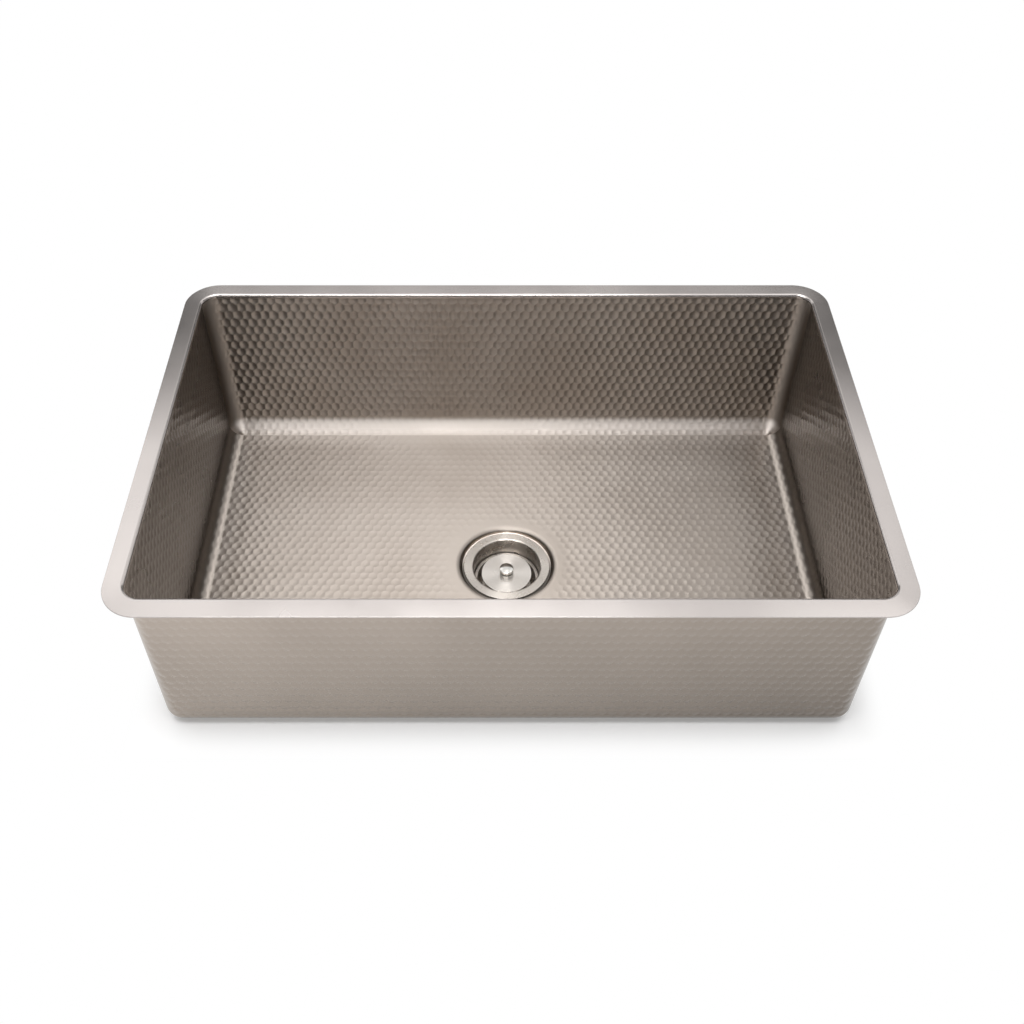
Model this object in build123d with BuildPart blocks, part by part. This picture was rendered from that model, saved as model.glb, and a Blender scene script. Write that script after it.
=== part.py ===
"""Single-bowl kitchen sink of hammered steel sheet, with its basket strainer fitted in the drain.

Millimetres. The origin is the centre of the rim's top face, +X to the right, +Y to the back, +Z up.
The sink hangs by its rim under a worktop, so everything else lies below the origin.
"""
from build123d import *
import os
from math import cos, pi, radians, tan

# ---- Driving dimensions -------------------------------------------------------------------------

# Bowl and rim
sheet = 1.5                    # thickness of the bowl's steel
rim_length = 813.0             # left to right over the rim
rim_depth = 534.0              # front to back over the rim
rim_corner_radius = 40.0
rim_ledge = 19.5               # flat rim standing out past the bowl's walls, at the sides and back
front_ledge = 23.0             # the same at the front
rim_bend_radius = 3.5          # where the rim turns down into the bowl, on the side that shows
bowl_height = 230.0            # top of the rim to the underside of the bowl's floor
wall_corner_radius = 20.0      # upright corners, outside
floor_bend_radius = 17.0       # walls to floor, outside

# Drain recess and hole in the bowl's floor
drain_forward = 8.0            # drain centre, in front of the rim's centre
drain_hole_radius = 45.0
recess_radius = 58.7
recess_depth = 6.0
recess_mouth_round = 2.0

# Sound pads under the floor, one in each quarter of it
pad_thickness = 3.0
pad_corner_radius = 12.0
pad_gap = 20.0                 # between the front pads and the back pads
pad_wall_margin = 65.0         # from the outside of the walls to the pads
pad_drain_margin = 30.0        # from the pressed recess to the pads

# Strainer body, a pressed cup with a flange
strainer_sheet = 1.2
strainer_flange_radius = 54.4
strainer_edge_round = 0.5
throat_radius = 42.2           # inside of the cup's straight wall
throat_round = 2.4             # flange into throat, on the side that shows
cup_depth = 46.0               # flange top to the inside of the cup's floor
cup_straight = 27.0            # flange top to where the wall starts to draw in
cup_floor_radius = 31.0
cup_bend_radius = 3.0
cup_thread_pitch = 2.2
cup_thread_cut = 0.4
cup_thread_length = 16.0

# Seals and rings that clamp the strainer to the bowl
flange_seal_thickness = 1.2
flange_seal_inset = 0.8        # the seal's edge lies under the flange's edge
gasket_thickness = 3.2
gasket_radius = 56.5
friction_ring_thickness = 0.8
friction_ring_radius = 55.0
ring_clearance = 0.3           # soft rings round the cup
lock_nut_height = 11.0
lock_nut_radius = 50.5
lock_nut_lug_reach = 6.0
lock_nut_lug_width = 9.0
lock_nut_lugs = 6
lock_nut_corner_round = 1.0
nut_clearance = 0.1            # nuts over the crests of their threads

# Outlet spigot, rolled into the cup's floor
spigot_bore_radius = 20.0
spigot_neck_radius = 22.0      # through the hole in the cup's floor
spigot_lip_radius = 25.0       # rolled lip above the cup's floor
spigot_lip_thickness = 1.2
spigot_thread_radius = 23.7    # 1 1/2 inch pipe thread, over the crests
spigot_length = 20.0           # below the cup's floor
spigot_thread_pitch = 2.2
spigot_thread_cut = 0.6
cross_arm_width = 3.2
cross_height = 3.5
cross_drop = 4.0               # cup's floor to the top of the cross
hub_radius = 6.5
neck_clearance = 0.1           # spigot neck in the cup's floor

# Coupling nut and its washer, for a 38.1 mm waste pipe
pipe_radius = 19.05
pipe_clearance = 0.45
outlet_washer_thickness = 2.5
outlet_washer_bore_radius = 18.0   # the bore of the pipe that it seals
coupling_nut_height = 20.0
coupling_nut_flats = 58.0      # across the flats
coupling_lip_height = 3.0
coupling_nut_chamfer = 1.5

# Basket set: stem, knob, cover disc, basket cup and stopper
stem_radius = 3.0
stem_clearance = 0.05          # stem in what is fixed to it
turn_clearance = 0.05          # stem in the stopper, which it turns in
guide_clearance = 0.08         # stem in the hub of the cross
stem_tip_length = 4.0          # below the hub
stem_chamfer = 0.6
disc_radius = 32.0
disc_thickness = 1.2
disc_drop = 15.0               # flange top to the disc's top
disc_edge_round = 0.5
knob_radius = 8.8
knob_neck_radius = 5.2
knob_base_height = 2.2
knob_neck_height = 3.2
knob_cap_height = 5.2
knob_dome_height = 1.6
knob_grip_depth = 7.0          # how far the stem goes up into the knob
knob_edge_round = 0.4
sleeve_radius = 5.0
basket_sheet = 0.8
basket_height = 15.8           # underside of its floor to the top of its rim
basket_floor_radius = 32.5
basket_wall_radius = 38.0      # outside, at the top of the wall
basket_rim_radius = 40.8
basket_bend_radius = 1.6
basket_slots = 24
basket_slot_width = 2.4
basket_slot_height = 7.5
basket_hole_radius = 1.5
basket_hole_spacing = 6.5      # between the rings of holes, and about so along each ring
basket_hole_rings = 3
basket_inner_ring_radius = 12.5
seal_washer_radius = 15.0
seal_washer_thickness = 1.0
stopper_radius = 24.0
stopper_rim_thickness = 2.2
stopper_height = 4.0
stopper_boss_radius = 12.0
stopper_plug_depth = 3.0
stopper_plug_radius = 17.5
stopper_plug_taper = 20.0      # degrees from upright
clip_radius = 6.0
clip_thickness = 0.8
clip_groove_depth = 0.8
clip_mouth = 3.6

# ---- Places that follow from them ---------------------------------------------------------------

wall_length = rim_length - 2 * rim_ledge
wall_depth = rim_depth - rim_ledge - front_ledge
bowl_back = (front_ledge - rim_ledge) / 2      # the bowl's centre, behind the rim's centre
floor_top = sheet - bowl_height
recess_top = floor_top - recess_depth
strainer_top = recess_top + flange_seal_thickness + strainer_sheet
drain_axis = Axis((0, -drain_forward, 0), (0, 0, 1))
# Turned pieces are drawn here: x is the radius and y the height over the strainer's flange.
drain_section = Plane(origin=(0, -drain_forward, strainer_top), x_dir=(1, 0, 0), z_dir=(0, -1, 0))

cup_radius = throat_radius + strainer_sheet
boss_underside = recess_top - sheet - strainer_top
gasket_underside = boss_underside - gasket_thickness
friction_underside = gasket_underside - friction_ring_thickness
cup_underside = -cup_depth - strainer_sheet
lip_top = spigot_lip_thickness - cup_depth
spigot_end = cup_underside - spigot_length
cross_top = cup_underside - cross_drop
cross_underside = cross_top - cross_height
cross_length = spigot_bore_radius + spigot_thread_radius      # its arms end inside the spigot's wall
washer_underside = spigot_end - outlet_washer_thickness
coupling_underside = washer_underside - coupling_lip_height
coupling_top = coupling_underside + coupling_nut_height
coupling_bore_radius = pipe_radius + pipe_clearance

stopper_top = lip_top + stopper_height
washer_top = stopper_top + turn_clearance + seal_washer_thickness
basket_rim_top = washer_top + basket_height
basket_floor_top = washer_top + basket_sheet
disc_underside = -disc_drop - disc_thickness
plug_underside = lip_top - stopper_plug_depth
clip_top = plug_underside - turn_clearance
clip_underside = clip_top - clip_thickness
stem_top = knob_grip_depth - disc_drop
stem_tip = cross_underside - stem_tip_length


def drain_level(height):
    """A level plane at this height over the strainer's flange, centred on the drain."""
    return Plane(origin=(0, -drain_forward, strainer_top + height))


# ---- Sink ---------------------------------------------------------------------------------------

with BuildPart() as sink_bowl:
    with BuildSketch(Plane.XY.offset(-bowl_height)):
        with Locations((0, bowl_back)):
            RectangleRounded(wall_length, wall_depth, wall_corner_radius)
    extrude(amount=bowl_height)
    fillet(sink_bowl.faces().sort_by(Axis.Z)[0].edges(), floor_bend_radius)
    offset(amount=-sheet, openings=sink_bowl.faces().sort_by(Axis.Z)[-1])
    # The rim: the same sheet folded out flat at the top of the walls.
    with BuildSketch(Plane.XY.offset(-sheet)):
        RectangleRounded(rim_length, rim_depth, rim_corner_radius)
        with Locations((0, bowl_back)):
            RectangleRounded(wall_length, wall_depth, wall_corner_radius, mode=Mode.SUBTRACT)
    extrude(amount=sheet)
    rim_underside = sink_bowl.faces().filter_by(Axis.Z).filter_by_position(Axis.Z, -sheet, -sheet)
    fillet(rim_underside.sort_by(SortBy.AREA)[-1].inner_wires()[0].edges(), rim_bend_radius - sheet)
    rim_top = sink_bowl.faces().filter_by(Axis.Z).sort_by(Axis.Z)[-1]
    fillet(rim_top.inner_wires()[0].edges(), rim_bend_radius)
    # The drain recess is pressed down out of the floor, so its underside stands out below.
    with BuildSketch(Plane.XY.offset(-bowl_height)):
        with Locations((0, -drain_forward)):
            Circle(recess_radius + sheet)
    extrude(amount=-recess_depth)
    fillet(sink_bowl.edges().group_by(Axis.Z)[0], recess_mouth_round)
    with BuildSketch(Plane.XY.offset(floor_top)):
        with Locations((0, -drain_forward)):
            Circle(recess_radius)
    extrude(amount=-recess_depth, mode=Mode.SUBTRACT)
    mouth = sink_bowl.edges().filter_by(GeomType.CIRCLE).filter_by_position(Axis.Z, floor_top, floor_top)
    fillet(mouth.sort_by(SortBy.RADIUS)[-1], recess_mouth_round)
    with BuildSketch(Plane.XY.offset(floor_top)):
        with Locations((0, -drain_forward)):
            Circle(drain_hole_radius)
    extrude(amount=-2 * (recess_depth + sheet), mode=Mode.SUBTRACT)

pad_inner_end = recess_radius + sheet + pad_drain_margin
pad_length = wall_length / 2 - pad_wall_margin - pad_inner_end
pad_depth = (wall_depth - pad_gap) / 2 - pad_wall_margin
pad_x = pad_inner_end + pad_length / 2
pad_y = (pad_gap + pad_depth) / 2
sound_pads = {}
for side, x in (("left", -pad_x), ("right", pad_x)):
    for end, y in (("front", -pad_y), ("back", pad_y)):
        with BuildPart() as sound_pad:
            with BuildSketch(Plane.XY.offset(-bowl_height)):
                with Locations((x, bowl_back + y)):
                    RectangleRounded(pad_length, pad_depth, pad_corner_radius)
            extrude(amount=-pad_thickness)
        sound_pads[f"sound_pad_{end}_{side}"] = sound_pad

# ---- Strainer -----------------------------------------------------------------------------------

with BuildPart() as flange_seal:
    with BuildSketch(drain_level(-strainer_sheet)):
        Circle(strainer_flange_radius - flange_seal_inset)
        Circle(drain_hole_radius, mode=Mode.SUBTRACT)
    extrude(amount=-flange_seal_thickness)

with BuildPart() as strainer_body:
    half = strainer_sheet / 2
    with BuildSketch(drain_section):
        with BuildLine():
            FilletPolyline(
                (strainer_flange_radius, -half),
                (throat_radius + half, -half),
                (throat_radius + half, -cup_straight),
                (cup_floor_radius, -cup_depth - half),
                (spigot_neck_radius + neck_clearance, -cup_depth - half),
                radius=[throat_round - half, cup_bend_radius, cup_bend_radius],
            )
        trace(line_width=strainer_sheet)
    revolve(axis=drain_axis)
    flange_edges = strainer_body.edges().filter_by(GeomType.CIRCLE)
    flange_edges = flange_edges.filter_by(lambda edge: edge.radius > strainer_flange_radius - half)
    fillet(flange_edges.sort_by(Axis.Z)[-1], strainer_edge_round)
    # Thread on the outside of the straight wall, drawn as plain rings.
    for turn in range(int(cup_thread_length / cup_thread_pitch)):
        with BuildSketch(drain_section):
            with Locations((cup_radius, gasket_underside - turn * cup_thread_pitch)):
                RegularPolygon(cup_thread_cut, 4)
        revolve(axis=drain_axis, mode=Mode.SUBTRACT)

with BuildPart() as body_gasket:
    with BuildSketch(drain_level(boss_underside)):
        Circle(gasket_radius)
        Circle(cup_radius + ring_clearance, mode=Mode.SUBTRACT)
    extrude(amount=-gasket_thickness)

with BuildPart() as friction_ring:
    with BuildSketch(drain_level(gasket_underside)):
        Circle(friction_ring_radius)
        Circle(cup_radius + ring_clearance, mode=Mode.SUBTRACT)
    extrude(amount=-friction_ring_thickness)

with BuildPart() as lock_nut:
    with BuildSketch(drain_level(friction_underside)):
        Circle(lock_nut_radius)
        with PolarLocations(lock_nut_radius, lock_nut_lugs):
            Rectangle(2 * lock_nut_lug_reach, lock_nut_lug_width)
        Circle(cup_radius + nut_clearance, mode=Mode.SUBTRACT)
    extrude(amount=-lock_nut_height)
    fillet(lock_nut.edges().filter_by(Axis.Z), lock_nut_corner_round)

with BuildPart() as outlet_spigot:
    with BuildSketch(drain_section):
        with BuildLine():
            Polyline(
                (spigot_bore_radius, lip_top),
                (spigot_lip_radius, lip_top),
                (spigot_lip_radius, -cup_depth),
                (spigot_neck_radius, -cup_depth),
                (spigot_neck_radius, cup_underside),
                (spigot_thread_radius, cup_underside),
                (spigot_thread_radius, spigot_end),
                (spigot_bore_radius, spigot_end),
                close=True,
            )
        make_face()
    revolve(axis=drain_axis)
    for turn in range(1, int(spigot_length / spigot_thread_pitch)):
        with BuildSketch(drain_section):
            with Locations((spigot_thread_radius, cup_underside - turn * spigot_thread_pitch)):
                RegularPolygon(spigot_thread_cut, 4)
        revolve(axis=drain_axis, mode=Mode.SUBTRACT)
    # The cross that guides the stem's end.
    with BuildSketch(drain_level(cross_top)):
        Rectangle(cross_length, cross_arm_width)
        Rectangle(cross_arm_width, cross_length)
        Circle(hub_radius)
        Circle(stem_radius + guide_clearance, mode=Mode.SUBTRACT)
    extrude(amount=-cross_height)

with BuildPart() as outlet_washer:
    with BuildSketch(drain_level(spigot_end)):
        Circle(spigot_thread_radius)
        Circle(outlet_washer_bore_radius, mode=Mode.SUBTRACT)
    extrude(amount=-outlet_washer_thickness)

with BuildPart() as coupling_nut:
    with BuildSketch(drain_level(coupling_underside)):
        RegularPolygon(coupling_nut_flats / 2, 6, major_radius=False)
        Circle(coupling_bore_radius, mode=Mode.SUBTRACT)
    extrude(amount=coupling_nut_height)
    with BuildSketch(drain_level(washer_underside)):
        Circle(spigot_thread_radius + nut_clearance)
    extrude(amount=coupling_nut_height, mode=Mode.SUBTRACT)
    # Both ends of the hexagon are turned off at its corners.
    corner_radius = coupling_nut_flats / 2 / cos(radians(30))
    for end, inward in ((coupling_top, -1), (coupling_underside, 1)):
        with BuildSketch(drain_section):
            with BuildLine():
                Polyline(
                    (corner_radius - 2 * coupling_nut_chamfer, end),
                    (corner_radius, end + inward * coupling_nut_chamfer),
                    (corner_radius + coupling_nut_chamfer, end),
                    close=True,
                )
            make_face()
        revolve(axis=drain_axis, mode=Mode.SUBTRACT)

# ---- Basket set ---------------------------------------------------------------------------------

with BuildPart() as basket_stem:
    with BuildSketch(drain_level(stem_tip)):
        Circle(stem_radius)
    extrude(amount=stem_top - stem_tip)
    chamfer(basket_stem.edges().sort_by(Axis.Z)[0], stem_chamfer)
    with BuildSketch(drain_level(clip_top)):
        Circle(stem_radius)
        Circle(stem_radius - clip_groove_depth, mode=Mode.SUBTRACT)
    extrude(amount=-clip_thickness, mode=Mode.SUBTRACT)

with BuildPart() as stem_clip:
    with BuildSketch(drain_level(clip_top)):
        Circle(clip_radius)
        Circle(stem_radius - clip_groove_depth + stem_clearance, mode=Mode.SUBTRACT)
        with Locations((clip_radius / 2, 0)):
            Rectangle(clip_radius, clip_mouth, mode=Mode.SUBTRACT)
    extrude(amount=-clip_thickness)

plug_tip_radius = stopper_plug_radius - stopper_plug_depth * tan(radians(stopper_plug_taper))
with BuildPart() as stopper_seal:
    with BuildSketch(drain_section):
        with BuildLine():
            Polyline(
                (stem_radius + turn_clearance, plug_underside),
                (plug_tip_radius, plug_underside),
                (stopper_plug_radius, lip_top),
                (stopper_radius, lip_top),
                (stopper_radius, lip_top + stopper_rim_thickness),
                (stopper_boss_radius, stopper_top),
                (stem_radius + turn_clearance, stopper_top),
                close=True,
            )
        make_face()
    revolve(axis=drain_axis)

with BuildPart() as seal_washer:
    with BuildSketch(drain_level(washer_top)):
        Circle(seal_washer_radius)
        Circle(stem_radius + stem_clearance, mode=Mode.SUBTRACT)
    extrude(amount=-seal_washer_thickness)

with BuildPart() as basket_cup:
    half = basket_sheet / 2
    with BuildSketch(drain_section):
        with BuildLine():
            FilletPolyline(
                (stem_radius + stem_clearance, washer_top + half),
                (basket_floor_radius - half, washer_top + half),
                (basket_wall_radius - half, basket_rim_top - half),
                (basket_rim_radius, basket_rim_top - half),
                radius=[basket_bend_radius, basket_bend_radius / 2],
            )
        trace(line_width=basket_sheet)
    revolve(axis=drain_axis)
    # Slots round the wall.
    slot_radius = (basket_floor_radius + basket_wall_radius) / 2
    slot_middle = washer_top + basket_height / 2
    slot_cut = basket_wall_radius - basket_floor_radius + basket_sheet
    with Locations(Location((0, -drain_forward, strainer_top + slot_middle))):
        with PolarLocations(slot_radius, basket_slots):
            Box(slot_cut, basket_slot_width, basket_slot_height, mode=Mode.SUBTRACT)
    # Rings of holes in the floor.
    for ring in range(basket_hole_rings):
        ring_radius = basket_inner_ring_radius + ring * basket_hole_spacing
        holes = int(2 * pi * ring_radius / basket_hole_spacing)
        with BuildSketch(drain_level(washer_top)):
            with PolarLocations(ring_radius, holes):
                Circle(basket_hole_radius)
        extrude(amount=basket_sheet, mode=Mode.SUBTRACT)

with BuildPart() as spacer_sleeve:
    with BuildSketch(drain_level(basket_floor_top)):
        Circle(sleeve_radius)
        Circle(stem_radius + stem_clearance, mode=Mode.SUBTRACT)
    extrude(amount=disc_underside - basket_floor_top)

with BuildPart() as cover_disc:
    with BuildSketch(drain_level(disc_underside)):
        Circle(disc_radius)
        Circle(stem_radius + stem_clearance, mode=Mode.SUBTRACT)
    extrude(amount=disc_thickness)
    fillet(cover_disc.edges().group_by(Axis.Z)[-1].sort_by(SortBy.RADIUS)[-1], disc_edge_round)

knob_neck_bottom = knob_base_height - disc_drop
knob_neck_top = knob_neck_bottom + knob_neck_height
knob_cap_edge = knob_neck_top + knob_cap_height - knob_dome_height
with BuildPart() as pull_knob:
    with BuildSketch(drain_section):
        with BuildLine():
            Polyline(
                (0, knob_cap_edge + knob_dome_height),
                (0, -disc_drop),
                (knob_radius, -disc_drop),
                (knob_radius, knob_neck_bottom),
                (knob_neck_radius, knob_neck_bottom),
                (knob_neck_radius, knob_neck_top),
                (knob_radius, knob_neck_top),
                (knob_radius, knob_cap_edge),
            )
            TangentArc(
                (0, knob_cap_edge + knob_dome_height), (knob_radius, knob_cap_edge), tangent=(1, 0)
            )
        make_face()
    revolve(axis=drain_axis)
    cap_edges = pull_knob.edges().filter_by(GeomType.CIRCLE)
    fillet(cap_edges.filter_by(lambda edge: edge.radius > knob_neck_radius), knob_edge_round)
    with BuildSketch(drain_level(-disc_drop)):
        Circle(stem_radius + stem_clearance)
    extrude(amount=knob_grip_depth + stem_clearance, mode=Mode.SUBTRACT)

# ---- Files --------------------------------------------------------------------------------------

pieces = {
    "sink_bowl": sink_bowl,
    **sound_pads,
    "flange_seal": flange_seal,
    "strainer_body": strainer_body,
    "outlet_spigot": outlet_spigot,
    "body_gasket": body_gasket,
    "friction_ring": friction_ring,
    "lock_nut": lock_nut,
    "outlet_washer": outlet_washer,
    "coupling_nut": coupling_nut,
    "basket_stem": basket_stem,
    "stem_clip": stem_clip,
    "stopper_seal": stopper_seal,
    "seal_washer": seal_washer,
    "basket_cup": basket_cup,
    "spacer_sleeve": spacer_sleeve,
    "cover_disc": cover_disc,
    "pull_knob": pull_knob,
}
os.makedirs("parts", exist_ok=True)
for name, piece in pieces.items():
    piece.part.label = name
    export_step(piece.part, f"parts/{name}.step")
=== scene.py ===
"""Looks of a hammered steel kitchen sink: its bowl as finely dimpled sheet, its finishes and a plain studio.

Lengths are in millimetres until a mesh is made, in the part's own frame: +X right, +Y back, +Z up.
"""
from math import pi, radians

import bpy
import numpy as np
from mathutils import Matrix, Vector


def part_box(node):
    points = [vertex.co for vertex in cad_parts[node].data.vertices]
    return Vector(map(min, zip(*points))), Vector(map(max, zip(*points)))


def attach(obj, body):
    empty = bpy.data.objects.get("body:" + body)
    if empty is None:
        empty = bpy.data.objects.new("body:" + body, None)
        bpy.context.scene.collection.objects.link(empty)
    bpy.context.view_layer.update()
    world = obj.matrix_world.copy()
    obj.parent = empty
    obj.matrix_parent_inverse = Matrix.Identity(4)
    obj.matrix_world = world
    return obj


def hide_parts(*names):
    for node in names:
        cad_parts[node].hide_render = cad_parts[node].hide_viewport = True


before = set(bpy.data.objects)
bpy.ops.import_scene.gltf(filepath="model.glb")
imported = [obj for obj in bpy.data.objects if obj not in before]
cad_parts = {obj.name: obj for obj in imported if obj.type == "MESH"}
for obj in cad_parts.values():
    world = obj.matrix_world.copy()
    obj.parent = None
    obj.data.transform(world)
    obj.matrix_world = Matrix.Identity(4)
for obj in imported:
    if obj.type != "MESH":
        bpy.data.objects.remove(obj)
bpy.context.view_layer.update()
mm = 0.001


def reach(node, axis):
    """Lowest and highest place of a CAD node along an axis, in millimetres."""
    low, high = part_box(node)
    return round(low[axis] / mm, 3), round(high[axis] / mm, 3)


# ---- Sizes of the bowl --------------------------------------------------------------------------

sheet = 1.5
rim_ledge = 19.5                # at the sides and the back
front_ledge = 23.0
rim_corner_radius = 40.0
rim_bend_radius = 3.5
rim_edge_round = 0.3
wall_corner_radius = 18.5       # inside the bowl
floor_bend_radius = 18.0        # inside the bowl
recess_radius = 57.7
recess_depth = 6.0
recess_mouth_round = 4.0        # how deep the rounding of its mouth goes
recess_mouth_reach = 8.0        # and how far out it starts
recess_foot_round = 1.5
drain_hole_radius = 45.0

rim_half_length = reach("sink_bowl", 0)[1]
rim_half_depth = reach("sink_bowl", 1)[1]
floor_top = reach("sound_pad_front_left", 2)[1] + sheet
bowl_back = (front_ledge - rim_ledge) / 2      # the bowl's centre, behind the rim's
drain_y = sum(reach("cover_disc", 1)) / 2 - bowl_back
# Half the floor's flat middle. The walls' bends start just outside it.
middle_x = rim_half_length - rim_ledge - sheet - wall_corner_radius
middle_y = rim_half_depth - (rim_ledge + front_ledge) / 2 - sheet - wall_corner_radius

# The hammering, on the flat sheet before it was drawn into a bowl
dimple_pitch = 11.57            # along a row
dimple_row_gap = 10.02
dimple_radius = 6.2
dimple_fullness = 1.25          # 1 for a bowl with a sharp edge, more for a softer edge
dimple_depth = 0.28
back_deepening = 3.6            # how much deeper the dimples are on the front and back walls
side_deepening = 1.8            # and on the sides
dimple_spread = 0.16            # share by which dimples differ in size and depth
dimple_stray = 0.3              # how far a dimple lies off its place
chance_factors = (12.9898, 78.233, 37.719, 43758.5453)     # unrelated numbers, the last one large
wall_stretch = 1.22             # how much the walls were drawn out
hammer_stop = 1.0               # how far below the rim's bend the hammering ends
plain_below_rim = 3.0           # smooth strips where the hammering fades out
plain_at_corner = 3.0
plain_at_drain = 22.0
back_bend_share = 0.6           # of the dimples' depth that is left in the bends at the front and the back
side_bend_share = 1.0           # and at the sides

grid_step = 1.8                 # spacing of the dimpled meshes' points
drain_square = 74.0             # half the square of floor round the drain
normal_step = 0.02              # how far apart the points are that give a surface's tilt
rim_step = 20.0                 # spacing of the rim's points along its straight sides
corner_parts = 16               # straight parts of a rounded corner, and then of the smaller bends
drain_floor_parts = 10
recess_mouth_parts = 12
recess_foot_parts = 5
recess_floor_parts = 4
rim_bend_parts = 8
rim_edge_parts = 4


# ---- Meshes -------------------------------------------------------------------------------------

def make_object(name, points, quads, normals, uvs, finishes):
    """A mesh object from points, quads, and a normal and a place on the map for each corner of each quad.

    finishes holds the number of each quad's material.
    """
    _, first, same = np.unique(np.round(points, 4), axis=0, return_index=True, return_inverse=True)
    points, quads = points[first], same.reshape(-1)[quads]
    apart = quads != np.roll(quads, 1, 1)      # a quad with two corners in one place is a triangle
    sizes = apart.sum(1)
    solid = sizes > 2
    apart, quads, normals, uvs, sizes = apart[solid], quads[solid], normals[solid], uvs[solid], sizes[solid]
    finishes = finishes[solid]
    mesh = bpy.data.meshes.new(name)
    mesh.vertices.add(len(points))
    mesh.vertices.foreach_set("co", ((points + (0, bowl_back, 0)) * mm).astype(np.float32).ravel())
    mesh.loops.add(int(sizes.sum()))
    mesh.loops.foreach_set("vertex_index", quads[apart].astype(np.int32))
    mesh.polygons.add(len(quads))
    mesh.polygons.foreach_set("loop_start", (np.cumsum(sizes) - sizes).astype(np.int32))
    mesh.polygons.foreach_set("use_smooth", np.ones(len(quads), bool))
    mesh.polygons.foreach_set("material_index", finishes.astype(np.int32))
    mesh.update(calc_edges=True)
    layer = mesh.uv_layers.new(name="sheet")
    layer.data.foreach_set("uv", (uvs[apart] * mm).astype(np.float32).ravel())
    mesh.normals_split_custom_set(normals[apart].tolist())
    made = bpy.data.objects.new(name, mesh)
    bpy.context.scene.collection.objects.link(made)
    return made


def unit(vectors):
    """Vectors made one long. One without a length becomes upright."""
    length = np.linalg.norm(vectors, axis=-1, keepdims=True)
    return np.where(length > 1e-9, vectors / np.maximum(length, 1e-9), (0.0, 0.0, 1.0))


def tilt(place, u, v, depth):
    """The normals of a surface place(u, v, depth)."""
    along_u = place(u + normal_step, v, depth) - place(u - normal_step, v, depth)
    along_v = place(u, v + normal_step, depth) - place(u, v - normal_step, depth)
    return unit(np.cross(along_u, along_v))


def cut_edges(cell, keep, ring, back):
    """The quads of a slab's cut edges, along each side of a kept cell that no kept cell shares.

    A point's other one, on the back of the sheet, has its number plus back.
    """
    around = np.pad(keep, 1)
    if ring:
        around[0, 1:-1], around[-1, 1:-1] = keep[-1], keep[0]
    neighbours = {
        (3, 0): around[:-2, 1:-1], (1, 2): around[2:, 1:-1],
        (0, 1): around[1:-1, :-2], (2, 3): around[1:-1, 2:],
    }
    sides = []
    for (a, b), there in neighbours.items():
        cut = cell[keep & ~there]
        sides.append(np.stack([cut[:, b], cut[:, a], cut[:, a] + back, cut[:, b] + back], 1))
    return np.concatenate(sides)


def slab(name, place, u, v, keep=None, ring=False, turned=False, flat=False):
    """A closed piece of sheet. place(u, v, depth) gives its face at depth 0 and its back at depth sheet.

    keep says which cells of the grid there are. In a ring the last column meets the first. On a turned one
    the map's first direction, which the brushing follows, is v. A flat one is mapped by its places.
    """
    grid_u, grid_v = np.meshgrid(u, v, indexing="ij")
    points = np.concatenate([place(grid_u, grid_v, depth).reshape(-1, 3) for depth in (0.0, sheet)])
    face_tilt, back_tilt = (tilt(place, grid_u, grid_v, depth).reshape(-1, 3) for depth in (0.0, sheet))
    smooth = np.concatenate([face_tilt, -back_tilt])
    sheet_map = np.stack([grid_v, grid_u] if turned else [grid_u, grid_v], 2).reshape(-1, 2)
    if flat:
        sheet_map = points[:len(sheet_map), :2]
    uv = np.concatenate([sheet_map, sheet_map])

    columns, rows = grid_u.shape
    last = columns if ring else columns - 1
    i, j = np.meshgrid(np.arange(last), np.arange(rows - 1), indexing="ij")
    beyond = (i + 1) % columns
    cell = np.stack([i * rows + j, beyond * rows + j, beyond * rows + j + 1, i * rows + j + 1], 2)
    if keep is None:
        keep = np.ones((last, rows - 1), bool)
    face = cell[keep]
    back = face[:, ::-1] + columns * rows
    sides = cut_edges(cell, keep, ring, columns * rows)
    corner = points[sides]
    side_tilt = unit(np.cross(corner[:, 2] - corner[:, 0], corner[:, 3] - corner[:, 1]))
    quads = np.concatenate([face, back, sides])
    normals = np.concatenate([smooth[face], smooth[back], np.repeat(side_tilt[:, None], 4, 1)])
    finishes = np.repeat((0, 1, 0), (len(face), len(back), len(sides)))
    return make_object(name, points, quads, normals, uv[quads], finishes)


def steps(*stops):
    """Places from the first stop to the last, through those between, about grid_step apart."""
    runs = []
    for start, end in zip(stops, stops[1:]):
        parts = max(1, round(abs(end - start) / grid_step))
        runs.append(np.linspace(start, end, parts + 1)[:-1])
    return np.concatenate([*runs, stops[-1:]])


def ease(value):
    """From 0 to 1 as value does, level at both ends."""
    value = np.clip(value, 0, 1)
    return value * value * (3 - 2 * value)


# ---- Hammering ----------------------------------------------------------------------------------

def chance(column, row, salt):
    """A number from 0 to 1 that looks random and is always the same for one dimple."""
    by_column, by_row, by_salt, by_all = chance_factors
    return np.modf(np.abs(np.sin(column * by_column + row * by_row + salt * by_salt) * by_all))[0]


def dimples(sheet_x, sheet_y):
    """How far the sheet is pressed in at a place on it, as a share of the dimples' depth."""
    pressed = np.zeros_like(sheet_x)
    for up, along in ((0, 0), (0, 1), (1, 0), (1, 1)):
        row = np.floor(sheet_y / dimple_row_gap) + up
        shift = np.mod(row, 2) / 2
        column = np.floor(sheet_x / dimple_pitch - shift) + along
        off_x = sheet_x - (column + shift) * dimple_pitch + (2 * chance(column, row, 1) - 1) * dimple_stray
        off_y = sheet_y - row * dimple_row_gap + (2 * chance(column, row, 2) - 1) * dimple_stray
        radius = dimple_radius * (1 + dimple_spread * (chance(column, row, 3) - 0.5))
        dent = np.clip(1 - (off_x ** 2 + off_y ** 2) / radius ** 2, 0, None) ** dimple_fullness
        pressed = np.maximum(pressed, dent * (1 + 2 * dimple_spread * (chance(column, row, 4) - 0.5)))
    return pressed


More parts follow.
